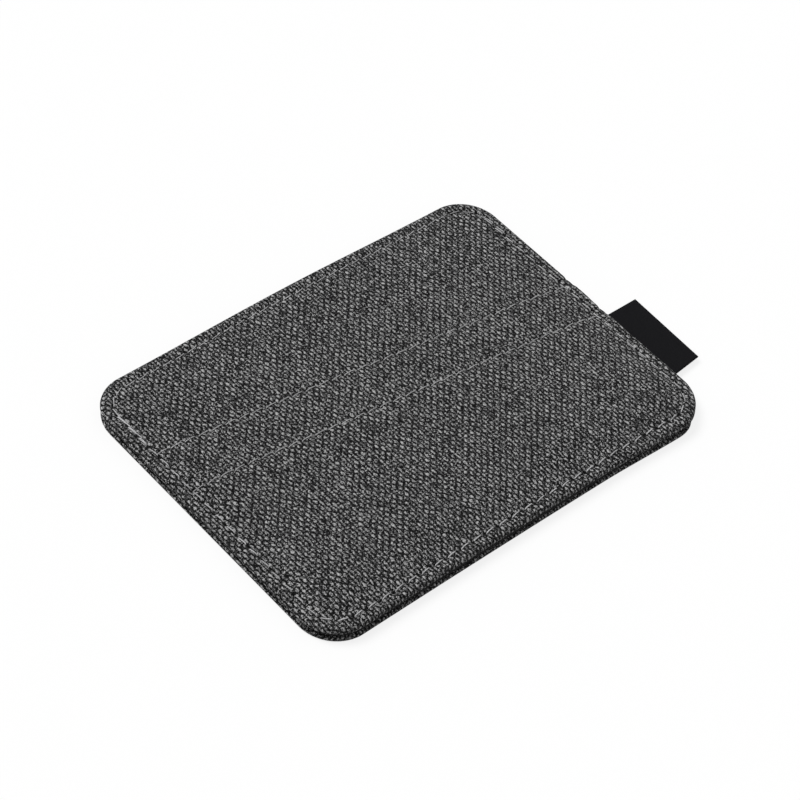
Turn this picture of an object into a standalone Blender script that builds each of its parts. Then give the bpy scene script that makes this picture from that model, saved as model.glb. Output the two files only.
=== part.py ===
"""A slim sewn card holder that blocks radio reading of the cards in it.

Two walls of woven cloth, each with its edges turned in over a metallised film, are sewn
together on three sides and open at the far long side. The front wall carries two slanted
slot facings with turned hems. A folded woven label is caught in the right side seam.

X runs along the long side, Y towards the open mouth, Z up from the face it rests on.
"""

import math

import bmesh
import bpy

MM = 0.001

# Outline of the front wall
LENGTH = 100.0 * MM
DEPTH = 73.0 * MM
CORNER_RADIUS = 8.5 * MM
BACK_SET_IN = 0.6 * MM  # the back wall stops this far inside the front wall at the near side

# Plies
CLOTH = 0.30 * MM
LINING = 0.10 * MM
SHIELD = 0.08 * MM
PLY_GAP = 0.04 * MM  # air left between two plies that lie on each other

# Turned edges of the walls
TURN_IN = 6.0 * MM
SHIELD_MARGIN = 0.4 * MM  # from the film's edge to the stitch groove
LINING_INSET = 1.2 * MM

# Seams and their threads
SEAM_INSET = 2.4 * MM
STITCH = 3.3 * MM
THREAD = 0.35 * MM
HEM_STITCH = 3.0 * MM
HEM_THREAD = 0.28 * MM
THREAD_FLAT_SHARE = 0.45  # a tight stitch lies flattened: its height over its width
THREAD_GAP = 0.02 * MM
THREAD_ARCH = 0.03 * MM  # rise of a front stitch between two needle holes
GROOVE_SIDE = 0.18 * MM  # room beside the thread on the floor of the groove
GROOVE_FLANK = 0.55 * MM
SEAM_TO_ROW = 1.0 * MM  # the side seams stop this far short of the row that hems the mouth

# Slanted slots of the front wall
MOUTH_SLANT = math.radians(7.2)  # the mouths run down towards the label's side
LOWER_MOUTH = 38.55 * MM  # from the near edge to the lower mouth's fold, at the middle
SLOT_STEP = 10.4 * MM  # from the lower mouth up to the upper one
HEM_ROW = 1.8 * MM  # from a mouth's fold to its stitch row
HEM_WIDTH = 5.5 * MM
HEM_SPACE = 0.08 * MM  # between the two plies of a hem
HEM_EASE = 0.3 * MM  # from the turned ply's cut edge to where the facing starts to fall
HEM_FALL = 2.0 * MM  # length over which the facing falls from its hem to the lining
FACING_STEP = 0.15 * MM  # each facing's edge is set in this much from the ply under it
ROW_END = 0.6 * MM  # a hem row stops this far from the side seam
THREAD_CLIMB = 1.2 * MM  # run in which the seam thread climbs onto a facing
THREAD_LEVEL = 0.3 * MM  # it is level again this far before the fold

# Label
LABEL_TAPE = 0.13 * MM
LABEL_WIDTH = 19.3 * MM
LABEL_REACH = 8.7 * MM
LABEL_CAUGHT = 4.2 * MM  # length held in the seam
LABEL_FROM_NEAR = 21.5 * MM  # near edge to the label's middle
LABEL_LOOP_GAP = 0.10 * MM
LABEL_GAP = 0.07 * MM  # between the held end and the lining on each side
LABEL_SWING_GAP = 0.12 * MM

# Facets
CORNER_STEPS = 7
ROLL_STEPS = 6
FACING_STEPS = 4  # columns between a facing's two near corners

# Sizes that follow from those above
THREAD_HEIGHT = THREAD * THREAD_FLAT_SHARE
STITCH_DIP = THREAD_HEIGHT + 2 * THREAD_GAP
TURN_SPACE = max(STITCH_DIP + PLY_GAP, SHIELD + 2 * PLY_GAP)
CARD_SPACE = 2 * (LABEL_TAPE + LABEL_GAP)
GROOVE_FLOOR = THREAD / 2 + GROOVE_SIDE
GROOVE_HALF = GROOVE_FLOOR + GROOVE_FLANK
HALF_LENGTH = LENGTH / 2
HALF_DEPTH = DEPTH / 2
WALL = 2 * CLOTH + TURN_SPACE

# Levels, each the underside of its ply
BACK_FACE = 0.0
BACK_SHIELD = BACK_FACE + CLOTH + PLY_GAP
BACK_LINING = BACK_FACE + WALL + PLY_GAP
LABEL_LEVEL = BACK_LINING + LINING + CARD_SPACE / 2  # middle of the card space
FRONT_LINING = BACK_LINING + LINING + CARD_SPACE
FRONT_TOP = FRONT_LINING + LINING + PLY_GAP + WALL  # the front wall's outer face
FRONT_SHIELD = FRONT_TOP - CLOTH - PLY_GAP - SHIELD
SLOT_RISE = PLY_GAP + LINING + PLY_GAP + CLOTH  # one slot's lining and facing
UPPER_TOP = FRONT_TOP + SLOT_RISE
LOWER_TOP = UPPER_TOP + SLOT_RISE
HEM_RISE = PLY_GAP + CLOTH + HEM_SPACE + CLOTH  # a hem above the ply that it lies on

# The mouths' folds at the middle of the length
LOWER_FOLD = -HALF_DEPTH + LOWER_MOUTH
UPPER_FOLD = LOWER_FOLD + SLOT_STEP

HINGE_OUT = LABEL_TAPE + LABEL_LOOP_GAP / 2 + LABEL_SWING_GAP
LABEL_HINGE = (HALF_LENGTH + HINGE_OUT, -HALF_DEPTH + LABEL_FROM_NEAR, LABEL_LEVEL)


def clear_scene():
    for existing in list(bpy.data.objects):
        bpy.data.objects.remove(existing, do_unlink=True)


def new_collection(name):
    collection = bpy.data.collections.new(name)
    bpy.context.scene.collection.children.link(collection)
    return collection


def new_material(name, colour, roughness, metallic=0.0):
    """A plain finish; colour is linear red, green and blue."""
    material = bpy.data.materials.new(name)
    material.use_nodes = True
    shader = material.node_tree.nodes["Principled BSDF"]
    shader.inputs["Base Color"].default_value = (*colour, 1.0)
    shader.inputs["Roughness"].default_value = roughness
    shader.inputs["Metallic"].default_value = metallic
    return material


def mesh_object(name, bm, material):
    mesh = bpy.data.meshes.new(name)
    bm.to_mesh(mesh)
    bm.free()
    mesh.materials.append(material)
    made = bpy.data.objects.new(name, mesh)
    PARTS.objects.link(made)
    return made


def thicken(made, thickness):
    """Gives an open sheet its ply thickness, half on each side of the modelled surface."""
    solidify = made.modifiers.new("ply", "SOLIDIFY")
    solidify.thickness = thickness
    solidify.offset = 0.0
    solidify.use_even_offset = True
    made.data.shade_smooth()
    made.data.set_sharp_from_angle(angle=math.radians(40))


def corner_arc(centre_x, centre_y, radius, start):
    """A quarter turn of points, anticlockwise from the start angle."""
    points = []
    for step in range(CORNER_STEPS + 1):
        angle = start + math.pi / 2 * step / CORNER_STEPS
        points.append((centre_x + radius * math.cos(angle), centre_y + radius * math.sin(angle)))
    return points


def wall_outline(inset, near_shift=0.0):
    """The holder's rounded outline moved inwards, anticlockwise from the right side."""
    radius = CORNER_RADIUS - inset
    x = HALF_LENGTH - inset - radius
    far = HALF_DEPTH - inset - radius
    near = -HALF_DEPTH + inset + near_shift + radius
    return (
        corner_arc(x, far, radius, 0.0)
        + corner_arc(-x, far, radius, math.pi / 2)
        + corner_arc(-x, near, radius, math.pi)
        + corner_arc(x, near, radius, math.pi * 3 / 2)
    )


def far_corners(inset):
    return wall_outline(inset)[: 2 * (CORNER_STEPS + 1)]


def near_corners(inset):
    return wall_outline(inset)[2 * (CORNER_STEPS + 1):]


def turned_profile(near_shift):
    """Rings of a turned-edge wall as (inset, depth under the outer face, near shift).

    From the middle outwards: the flat face, the groove that the stitches pull into it, the
    roll round the edge, and the turned margin that lies inside. The groove keeps the seam's
    own place, so only the rings outside it take the near shift.
    """
    face = CLOTH / 2
    roll = (CLOTH + TURN_SPACE) / 2
    rings = [
        (SEAM_INSET + GROOVE_HALF, face, 0.0),
        (SEAM_INSET + GROOVE_FLOOR, face + STITCH_DIP, 0.0),
        (SEAM_INSET - GROOVE_FLOOR, face + STITCH_DIP, 0.0),
        (SEAM_INSET - GROOVE_HALF, face, 0.0),
    ]
    for step in range(ROLL_STEPS + 1):
        turn = math.pi * step / ROLL_STEPS
        inset = CLOTH / 2 + roll - roll * math.sin(turn)
        rings.append((inset, face + roll - roll * math.cos(turn), near_shift))
    rings.append((TURN_IN, face + 2 * roll, near_shift))
    return rings


def turned_wall(name, outer_face, inwards, near_shift, material):
    """A wall of cloth with its edge turned in: a loft through rings, closed at the middle."""
    bm = bmesh.new()
    previous = None
    for inset, depth, shift in turned_profile(near_shift):
        z = outer_face + inwards * depth
        ring = [bm.verts.new((x, y, z)) for x, y in wall_outline(inset, shift)]
        if previous is None:
            bm.faces.new(ring)
        else:
            count = len(ring)
            for i in range(count):
                j = (i + 1) % count
                bm.faces.new((previous[i], ring[i], ring[j], previous[j]))
        previous = ring
    bmesh.ops.recalc_face_normals(bm, faces=bm.faces)
    thicken(mesh_object(name, bm, material), CLOTH)


def flat_ply(name, outline, underside, thickness, material):
    """A flat piece cut to an outline: a filled 2D curve, extruded half up and half down."""
    curve = bpy.data.curves.new(name, "CURVE")
    curve.dimensions = "2D"
    curve.fill_mode = "BOTH"
    curve.extrude = thickness / 2
    spline = curve.splines.new("POLY")
    spline.points.add(len(outline) - 1)
    for point, (x, y) in zip(spline.points, outline):
        point.co = (x, y, 0.0, 1.0)
    spline.use_cyclic_u = True
    curve.materials.append(material)
    made = bpy.data.objects.new(name, curve)
    made.location.z = underside + thickness / 2
    PARTS.objects.link(made)


def fold_height(x, fold):
    """Y of a mouth's fold at x; fold is its Y at the middle of the length."""
    return fold - x * math.tan(MOUTH_SLANT)


def below_fold(distance):
    """A distance square to the slanted fold, as a distance along Y."""
    return distance / math.cos(MOUTH_SLANT)


def lining_outline(fold, inset):
    """A slot's lining: the near part of the outline, cut along the end of the mouth's hem."""
    top = fold - below_fold(HEM_WIDTH + HEM_EASE)
    x = HALF_LENGTH - inset
    return [(x, fold_height(x, top)), (-x, fold_height(-x, top))] + near_corners(inset)


def folded_cloth(name, columns, rows, place, thickness, material):
    """A flat grid laid along a folded path: place(column, row) gives each vertex its point."""
    bm = bmesh.new()
    across = len(columns) - 1
    along = len(rows) - 1
    bmesh.ops.create_grid(bm, x_segments=across, y_segments=along, size=1.0)
    for vertex in bm.verts:
        column = columns[round((vertex.co.x + 1) / 2 * across)]
        row = rows[round((vertex.co.y + 1) / 2 * along)]
        vertex.co = place(column, row)
    made = mesh_object(name, bm, material)
    thicken(made, thickness)
    return made


def facing_columns(inset):
    """(x, y of the near edge) for each column of a facing, following the near corners."""
    left = near_corners(inset)[: CORNER_STEPS + 1]
    right = [(-x, y) for x, y in reversed(left)]
    x_left, near = left[-1]
    x_right = right[0][0]
    middle = []
    for step in range(1, FACING_STEPS):
        middle.append((x_left + (x_right - x_left) * step / FACING_STEPS, near))
    return left + middle + right


def facing_rows(ply_under):
    """(distance below the fold, height) along a facing, from the hem's cut edge to the top.

    The cloth runs up under itself to the fold, rolls over, comes down as the hem's upper
    ply and falls to the level of the slot's lining. None stands for the near edge.
    """
    under = ply_under + PLY_GAP + CLOTH / 2
    roll = (CLOTH + HEM_SPACE) / 2
    centre = CLOTH / 2 + roll
    main = ply_under + SLOT_RISE - CLOTH / 2
    rows = [(HEM_WIDTH, under)]
    for step in range(ROLL_STEPS + 1):
        turn = math.pi * step / ROLL_STEPS
        rows.append((centre - roll * math.sin(turn), under + roll - roll * math.cos(turn)))
    rows.append((HEM_WIDTH + HEM_EASE, under + 2 * roll))
    rows.append((HEM_WIDTH + HEM_EASE + HEM_FALL, main))
    rows.append((None, main))
    return rows


def slot_facing(name, fold, ply_under, inset, material):
    """The cloth front of a slot, with its slanted mouth hemmed."""

    def place(column, row):
        x, near = column
        distance, z = row
        if distance is None:
            return (x, near, z)
        return (x, fold_height(x, fold) - below_fold(distance), z)

    folded_cloth(name, facing_columns(inset), facing_rows(ply_under), place, CLOTH, material)


def slot_steps(fold, before, ply_under):
    """The front's heights over a slot's mouth, as (fold, distance down from it along Y, height).

    before is the height just above the mouth, and ply_under is what the hem lies on.
    """
    level = below_fold(-THREAD_LEVEL)
    hem_end = below_fold(HEM_WIDTH + HEM_EASE)
    fall_end = below_fold(HEM_WIDTH + HEM_EASE + HEM_FALL)
    return [
        (fold, level - below_fold(THREAD_CLIMB), before),
        (fold, level, ply_under + HEM_RISE),
        (fold, hem_end, ply_under + HEM_RISE),
        (fold, fall_end, ply_under + SLOT_RISE),
    ]


def side_levels(x):
    """The front's top along a side seam at x: (y, height), from the far end to the near end."""
    steps = slot_steps(UPPER_FOLD, FRONT_TOP - STITCH_DIP, FRONT_TOP)
    steps += slot_steps(LOWER_FOLD, UPPER_TOP, UPPER_TOP)
    return [(fold_height(x, fold) - down, height) for fold, down, height in steps]


def height_at(levels, y):
    """Height on a side seam at y, straight between the named levels."""
    if y >= levels[0][0]:
        return levels[0][1]
    for (y_above, z_above), (y_below, z_below) in zip(levels, levels[1:]):
        if y >= y_below:
            share = (y_above - y) / (y_above - y_below)
            return z_above + (z_below - z_above) * share
    return levels[-1][1]


def run_lengths(route):
    """Distance along a route to each of its points."""
    lengths = [0.0]
    for (x0, y0), (x1, y1) in zip(route, route[1:]):
        lengths.append(lengths[-1] + math.hypot(x1 - x0, y1 - y0))
    return lengths


def point_at(route, lengths, distance):
    for i in range(len(route) - 1):
        if distance <= lengths[i + 1] or i == len(route) - 2:
            share = (distance - lengths[i]) / (lengths[i + 1] - lengths[i])
            (x0, y0), (x1, y1) = route[i], route[i + 1]
            return (x0 + (x1 - x0) * share, y0 + (y1 - y0) * share)


def stitched(route, pitch, arch, surface):
    """Points of a thread along a route: a hole and a crest for each stitch, and the route's own."""
    lengths = run_lengths(route)
    stitches = max(1, round(lengths[-1] / pitch))
    step = lengths[-1] / stitches
    distances = {0.0, lengths[-1]}
    for half in range(1, 2 * stitches):
        distances.add(half * step / 2)
    for length in lengths[1:-1]:
        if min(abs(length - other) for other in distances) > THREAD:
            distances.add(length)
    points = []
    for distance in sorted(distances):
        x, y = point_at(route, lengths, distance)
        to_hole = abs(distance / step - round(distance / step))
        points.append((x, y, surface(x, y) + 2 * to_hole * arch))
    return points


def thread(name, points, width, material):
    """A thread laid along points, its round section flattened against the cloth."""
    curve = bpy.data.curves.new(name, "CURVE")
    curve.dimensions = "3D"
    curve.twist_mode = "Z_UP"
    curve.bevel_depth = width / 2
    curve.bevel_resolution = 0
    curve.use_fill_caps = True
    spline = curve.splines.new("POLY")
    spline.points.add(len(points) - 1)
    for point, (x, y, z) in zip(spline.points, points):
        point.co = (x, y, z / THREAD_FLAT_SHARE, 1.0)
    curve.materials.append(material)
    made = bpy.data.objects.new(name, curve)
    made.scale.z = THREAD_FLAT_SHARE
    PARTS.objects.link(made)


def seam_route():
    """The seam that joins the walls: down the left side, along the near side, up the right."""
    x = HALF_LENGTH - SEAM_INSET
    end = HALF_DEPTH - CORNER_RADIUS - SEAM_TO_ROW
    left = [(-x, y) for y, _ in side_levels(-x)]
    right = [(x, y) for y, _ in reversed(side_levels(x))]
    return [(-x, end)] + left + near_corners(SEAM_INSET) + right + [(x, end)]


def hem_route(fold):
    x = HALF_LENGTH - SEAM_INSET - ROW_END
    row = fold - below_fold(HEM_ROW)
    return [(-x, fold_height(-x, row)), (x, fold_height(x, row))]


def front_seam_surface(x, y):
    """Height of the seam thread's middle on the front, at a point of its route."""
    lift = THREAD_GAP + THREAD_HEIGHT / 2
    return height_at(side_levels(x), y) + lift


def level_surface(height):
    return lambda x, y: height


def build_walls():
    turned_wall("back_panel", BACK_FACE, 1, BACK_SET_IN, CLOTH_MATERIAL)
    turned_wall("front_panel", FRONT_TOP, -1, 0.0, CLOTH_MATERIAL)

    film = wall_outline(SEAM_INSET + GROOVE_HALF + SHIELD_MARGIN)
    flat_ply("back_shield", film, BACK_SHIELD, SHIELD, FILM_MATERIAL)
    flat_ply("front_shield", film, FRONT_SHIELD, SHIELD, FILM_MATERIAL)

    back_cut = wall_outline(LINING_INSET, BACK_SET_IN)
    front_cut = wall_outline(LINING_INSET)
    flat_ply("back_lining", back_cut, BACK_LINING, LINING, LINING_MATERIAL)
    flat_ply("front_lining", front_cut, FRONT_LINING, LINING, LINING_MATERIAL)


def build_slots():
    slots = (
        ("upper", UPPER_FOLD, FRONT_TOP, FACING_STEP),
        ("lower", LOWER_FOLD, UPPER_TOP, 2 * FACING_STEP),
    )
    for name, fold, ply_under, inset in slots:
        slot_facing(name + "_slot_facing", fold, ply_under, inset, CLOTH_MATERIAL)
        cut = lining_outline(fold, LINING_INSET)
        flat_ply(name + "_slot_lining", cut, ply_under + PLY_GAP, LINING, LINING_MATERIAL)
        top = ply_under + HEM_RISE + THREAD_GAP + HEM_THREAD * THREAD_FLAT_SHARE / 2
        row = stitched(hem_route(fold), HEM_STITCH, THREAD_ARCH, level_surface(top))
        thread(name + "_hem_thread", row, HEM_THREAD, THREAD_MATERIAL)


def build_seams():
    seam = stitched(seam_route(), STITCH, THREAD_ARCH, front_seam_surface)
    thread("seam_needle_thread", seam, THREAD, THREAD_MATERIAL)

    in_groove = THREAD_GAP + THREAD_HEIGHT / 2
    back = level_surface(BACK_FACE + in_groove)
    thread("seam_bobbin_thread", stitched(seam_route(), STITCH, 0.0, back), THREAD, THREAD_MATERIAL)

    mouth_row = far_corners(SEAM_INSET)
    front = level_surface(FRONT_TOP - STITCH_DIP + in_groove)
    front_row = stitched(mouth_row, HEM_STITCH, THREAD_ARCH, front)
    thread("front_mouth_thread", front_row, HEM_THREAD, THREAD_MATERIAL)
    back_row = stitched(mouth_row, HEM_STITCH, 0.0, back)
    thread("back_mouth_thread", back_row, HEM_THREAD, THREAD_MATERIAL)


def build_label():
    hinge_x, middle, level = LABEL_HINGE
    side = LABEL_WIDTH / 2

    held = [
        (HALF_LENGTH - LABEL_CAUGHT, middle - side),
        (HALF_LENGTH, middle - side),
        (HALF_LENGTH, middle + side),
        (HALF_LENGTH - LABEL_CAUGHT, middle + side),
    ]
    flat_ply("label_root", held, level - LABEL_TAPE, 2 * LABEL_TAPE, LABEL_MATERIAL)

    hinge = bpy.data.objects.new("label_hinge", None)
    hinge.location = LABEL_HINGE
    PARTS.objects.link(hinge)

    roll = (LABEL_TAPE + LABEL_LOOP_GAP) / 2
    fold_x = HALF_LENGTH + LABEL_REACH - hinge_x - LABEL_TAPE / 2 - roll
    path = [(LABEL_SWING_GAP, -roll)]
    for step in range(ROLL_STEPS + 1):
        turn = math.pi * step / ROLL_STEPS
        path.append((fold_x + roll * math.sin(turn), -roll * math.cos(turn)))
    path.append((LABEL_SWING_GAP, roll))

    def place(y, point):
        x, z = point
        return (x, y, z)

    tab = folded_cloth("label_tab", [-side, side], path, place, LABEL_TAPE, LABEL_MATERIAL)
    tab.parent = hinge


clear_scene()
PARTS = new_collection("rfid_card_holder")
CLOTH_MATERIAL = new_material("two_tone_woven_polyester", (0.080, 0.080, 0.081), 0.85)
LINING_MATERIAL = new_material("polyester_lining", (0.012, 0.012, 0.013), 0.55)
FILM_MATERIAL = new_material("metallised_film", (0.60, 0.60, 0.61), 0.30, 1.0)
THREAD_MATERIAL = new_material("polyester_thread", (0.30, 0.30, 0.30), 0.60)
LABEL_MATERIAL = new_material("woven_label", (0.009, 0.009, 0.010), 0.75)

build_walls()
build_slots()
build_seams()
build_label()
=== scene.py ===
# %% [markdown]
# A slim card holder of two-tone woven cloth, seen from above at a slant on a white ground.
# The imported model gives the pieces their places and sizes. Each piece is then made again as
# the cloth, film, tape or thread that it really is.

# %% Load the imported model
import math

import bpy
import numpy as np
from mathutils import Matrix, Vector


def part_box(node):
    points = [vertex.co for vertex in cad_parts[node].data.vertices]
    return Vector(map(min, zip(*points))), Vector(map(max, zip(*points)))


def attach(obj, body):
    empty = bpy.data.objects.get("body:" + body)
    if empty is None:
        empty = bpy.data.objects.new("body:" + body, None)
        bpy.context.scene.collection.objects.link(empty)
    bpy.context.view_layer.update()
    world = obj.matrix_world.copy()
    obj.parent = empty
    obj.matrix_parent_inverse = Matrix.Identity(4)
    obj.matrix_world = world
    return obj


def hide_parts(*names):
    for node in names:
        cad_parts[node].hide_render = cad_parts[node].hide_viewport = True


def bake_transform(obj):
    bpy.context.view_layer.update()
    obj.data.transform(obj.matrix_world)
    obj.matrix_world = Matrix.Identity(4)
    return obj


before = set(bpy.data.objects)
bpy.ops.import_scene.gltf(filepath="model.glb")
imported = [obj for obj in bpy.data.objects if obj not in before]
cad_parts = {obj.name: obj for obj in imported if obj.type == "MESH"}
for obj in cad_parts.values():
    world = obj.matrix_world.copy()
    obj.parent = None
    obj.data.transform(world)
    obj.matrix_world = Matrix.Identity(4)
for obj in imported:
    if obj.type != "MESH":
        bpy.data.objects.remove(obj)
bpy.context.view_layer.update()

MM = 0.001
RIDES_ON = "holder"

# %% [markdown]
# The camera stands where the photographer's stood. Its place was worked back from the
# corners of the holder, which is 100 by 73 mm, and from the label. The long lens keeps the
# sides almost parallel. A Track To constraint could aim the camera, but this one was also
# turned about its own line of sight, so its matrix is built from three axes.

# %% Camera
PHOTO_SIDE = 800  # pixels
FOCAL_PIXELS = 2638.0
AZIMUTH = math.radians(-49.577)
ELEVATION = math.radians(47.397)
ROLL = math.radians(10.948)
AIM = Vector((1.75, 2.65, 0.0)) * MM
CAMERA_DISTANCE = 514.77 * MM
NEAREST_SEEN = 10 * MM

flat = math.cos(ELEVATION)
back = Vector((math.sin(AZIMUTH) * flat, -math.cos(AZIMUTH) * flat, math.sin(ELEVATION)))
level = (-back).cross(Vector((0.0, 0.0, 1.0))).normalized()
upright = level.cross(-back)
right = level * math.cos(ROLL) + upright * math.sin(ROLL)
up = upright * math.cos(ROLL) - level * math.sin(ROLL)
camera = bpy.data.objects.new("camera", bpy.data.cameras.new("camera"))
bpy.context.scene.collection.objects.link(camera)
camera.data.lens = FOCAL_PIXELS / PHOTO_SIDE * camera.data.sensor_width
camera.data.clip_start = NEAREST_SEEN
place = Matrix((right, up, back)).transposed().to_4x4()
place.translation = AIM + back * CAMERA_DISTANCE
camera.matrix_world = place
bpy.context.scene.camera = camera
print("lens", round(camera.data.lens, 1), "mm at", round(CAMERA_DISTANCE / MM), "mm")

# %% [markdown]
# The real holder is cut from flat cloth, whose edges are turned in before it is sewn. A
# simulation could fold it, but every edge is held, so a formula is surer. Each flat point is
# wrapped onto the holder: straight down onto the face, and past the rim round a small roll
# and back inwards as the turned margin. The distance to a rounded rectangle says how far past
# the rim a point lies, so corners and sides need one formula.

# %% Outlines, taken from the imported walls
front_low, front_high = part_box("front_panel")
HALF_X = (front_high.x - front_low.x) / 2
HALF_Y = (front_high.y - front_low.y) / 2
CORNER = 8.5 * MM
NEAR_ROLL = 0.90 * MM  # radius of the turned edge where three plies of cloth lie in it
FAR_ROLL = 0.72 * MM
BACK_ROLL = 0.43 * MM
# how far each rim was sewn inside the nominal outline: left, right, near and far
FRONT_INSETS = (-0.05 * MM, -0.35 * MM, 0.38 * MM, -0.05 * MM)
BACK_INSETS = (0.0 * MM, 0.7 * MM, 0.08 * MM, 0.2 * MM)


def outline_inside(insets, deeper=0.0):
    """A rounded rectangle inside the nominal one: its middle, half sizes and corner."""
    left, right, near, far = insets
    middle = ((left - right) / 2, (near - far) / 2)
    half = (HALF_X - (left + right) / 2 - deeper, HALF_Y - (near + far) / 2 - deeper)
    return middle, half, CORNER - deeper


FRONT_BEND = outline_inside(FRONT_INSETS, NEAR_ROLL)
BACK_BEND = outline_inside(BACK_INSETS, BACK_ROLL)


# %% How far a point lies past an outline
def smooth(value, start, end):
    """0 before start, 1 after end, and an even climb between."""
    share = np.clip((value - start) / (end - start), 0.0, 1.0)
    return share * share * (3 - 2 * share)


def past_edge(x, y, middle, half, corner):
    """Distance outside a rounded rectangle, less than 0 inside, and the way straight out."""
    over_x = np.abs(x - middle[0]) - (half[0] - corner)
    over_y = np.abs(y - middle[1]) - (half[1] - corner)
    out_x = np.maximum(over_x, 0.0)
    out_y = np.maximum(over_y, 0.0)
    away = np.hypot(out_x, out_y)
    distance = away + np.minimum(np.maximum(over_x, over_y), 0.0) - corner
    safe = np.maximum(away, 1e-9)
    return distance, np.sign(x - middle[0]) * out_x / safe, np.sign(y - middle[1]) * out_y / safe


# %% [markdown]
# The heights come from the photograph. The rim is a little over 3 mm high all round, and
# the open far edge stands up about 1 mm more at its middle, as the mouth of a sewn pocket
# does. The front also swells slightly between its seams.

# %% Height of the front
RIM_NEAR_HEIGHT = 3.30 * MM
RIM_FAR_HEIGHT = 3.15 * MM
SWELL = 0.25 * MM
MOUTH_LIFT = 0.9 * MM
LIFT_HALF_WIDTH = 44.0 * MM
LIFT_FROM = 4.0 * MM  # the lift starts this far past the middle of the depth


def front_height(x, y):
    """Height of the front wall's face before anything lies on it."""
    rim = RIM_NEAR_HEIGHT + (RIM_FAR_HEIGHT - RIM_NEAR_HEIGHT) * smooth(y, 0.0, HALF_Y)
    swell = SWELL * np.clip(1 - (x / HALF_X) ** 2, 0, 1) * np.clip(1 - (y / HALF_Y) ** 2, 0, 1)
    across = np.cos(np.pi / 2 * np.clip(x / LIFT_HALF_WIDTH, -1.0, 1.0)) ** 2
    return rim + swell + MOUTH_LIFT * across * smooth(y, LIFT_FROM, HALF_Y + LIFT_FROM)


print("the far edge stands", round(float(front_height(0.0, HALF_Y)) / MM, 2), "mm high at its middle")

# %% Wrap flat points round the rim
ROLL_THINS = (-5 * MM, 28 * MM)  # the roll gets thinner between these two places in y
NEAR_BOW = 0.30 * MM  # the near side is drawn in this much at its middle
NEAR_FLARE = 0.50 * MM  # and the rim at its right end stands out this much past the seam
FLARE_ACROSS = (20 * MM, 42 * MM)
FLARE_OUTWARDS = (HALF_Y - 3 * MM, HALF_Y - 1 * MM)


def roll_radius(y):
    return NEAR_ROLL + (FAR_ROLL - NEAR_ROLL) * smooth(y, *ROLL_THINS)


def rolled(x, y, lift, front=True):
    """Wraps flat points onto a wall: (x, y, z), with lift measured outwards from its face."""
    distance, out_x, out_y = past_edge(x, y, *(FRONT_BEND if front else BACK_BEND))
    past = np.maximum(distance, 0.0)
    rim_x = x - out_x * past
    rim_y = y - out_y * past
    r = roll_radius(rim_y) if front else BACK_ROLL
    flat = NEAR_ROLL - r if front else 0.0
    turn = np.clip((past - flat) / r, 0.0, np.pi)
    margin = np.maximum(past - flat - np.pi * r, 0.0)
    out = np.minimum(past, flat) + (r + lift) * np.sin(turn) - margin
    rise = (r + lift) * np.cos(turn) - r
    z = front_height(rim_x, rim_y) + rise if front else -rise
    bow = NEAR_BOW * (1 - (rim_x / HALF_X) ** 2) * smooth(-rim_y, 0.0, HALF_Y)
    flare = NEAR_FLARE * smooth(rim_x, *FLARE_ACROSS) * smooth(-rim_y, *FLARE_OUTWARDS)
    return np.stack((rim_x + out_x * out, rim_y + out_y * out + bow - flare, z), axis=-1)


print("the right rim is sewn in to x =", round(float(rolled(HALF_X, 0.0, 0.0)[0]) / MM, 2), "mm")

# %% [markdown]
# Two rows of stitches go round the edge, and one runs along each slanted slot hem. A tight
# stitch pulls the cloth down between its needle holes. A bump in the material could only
# shade that, so the rows are laid out first, and the cloth itself is dented along them
# before the threads are put in.

# %% Where the slots and the rows of stitches lie
ROW_LEFT = -HALF_X + 2.37 * MM
ROW_RIGHT = HALF_X - 2.10 * MM
ROW_NEAR = -HALF_Y + 2.60 * MM
ROW_FAR = HALF_Y - 2.46 * MM
ROW_CORNER = 6.1 * MM
HEM_ROW = 1.8 * MM
CAD_SLANT = math.tan(math.radians(7.2))
upper_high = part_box("upper_slot_facing")[1]
lower_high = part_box("lower_slot_facing")[1]
# each fold is given by where it crosses the middle and by how much it slants
UPPER = (upper_high.y - upper_high.x * CAD_SLANT, math.radians(7.42))
LOWER = (lower_high.y - lower_high.x * CAD_SLANT, math.radians(6.82))
SEAM_TOP = 29.2 * MM
HEM_SIDE = HALF_X - 2.2 * MM  # the hem rows end in the side seams
print("slot mouths at y =", round(UPPER[0] / MM, 2), "and", round(LOWER[0] / MM, 2), "mm")

# %% Paths of the rows
ARC_STEPS = 12


def quarter(x, y, start):
    """Points on a quarter circle round (x, y)."""
    turns = start + np.linspace(0.0, math.pi / 2, ARC_STEPS + 1)
    return [(x + ROW_CORNER * math.cos(turn), y + ROW_CORNER * math.sin(turn)) for turn in turns]


def fold_y(x, fold, slant):
    return fold - x * math.tan(slant)


def hem_path(fold, slant):
    row = fold - HEM_ROW / math.cos(slant)
    return [(x, fold_y(x, row, slant)) for x in (-HEM_SIDE, HEM_SIDE)]


def path_length(path):
    return float(np.hypot(*np.diff(np.array(path), axis=0).T).sum())


left_x = ROW_LEFT + ROW_CORNER
right_x = ROW_RIGHT - ROW_CORNER
near_y = ROW_NEAR + ROW_CORNER
far_y = ROW_FAR - ROW_CORNER
seam_path = (
    [(ROW_LEFT, SEAM_TOP)]
    + quarter(left_x, near_y, math.pi)
    + quarter(right_x, near_y, math.pi * 3 / 2)
    + [(ROW_RIGHT, SEAM_TOP)]
)
mouth_path = quarter(right_x, far_y, 0.0) + quarter(left_x, far_y, math.pi / 2)
print("the seam is", round(path_length(seam_path) / MM), "mm long")

# %% Needle holes
SEAM_PITCH = 3.3 * MM
HEM_PITCH = 3.0 * MM
LOOK_AHEAD = 0.2 * MM
LOOSE = (0.25, 0.55)  # range of how hard a stitch pulls, from 0 to 1
TIGHT = (0.75, 1.0)
RIGHT_SIDE_PULL = 0.45


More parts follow.
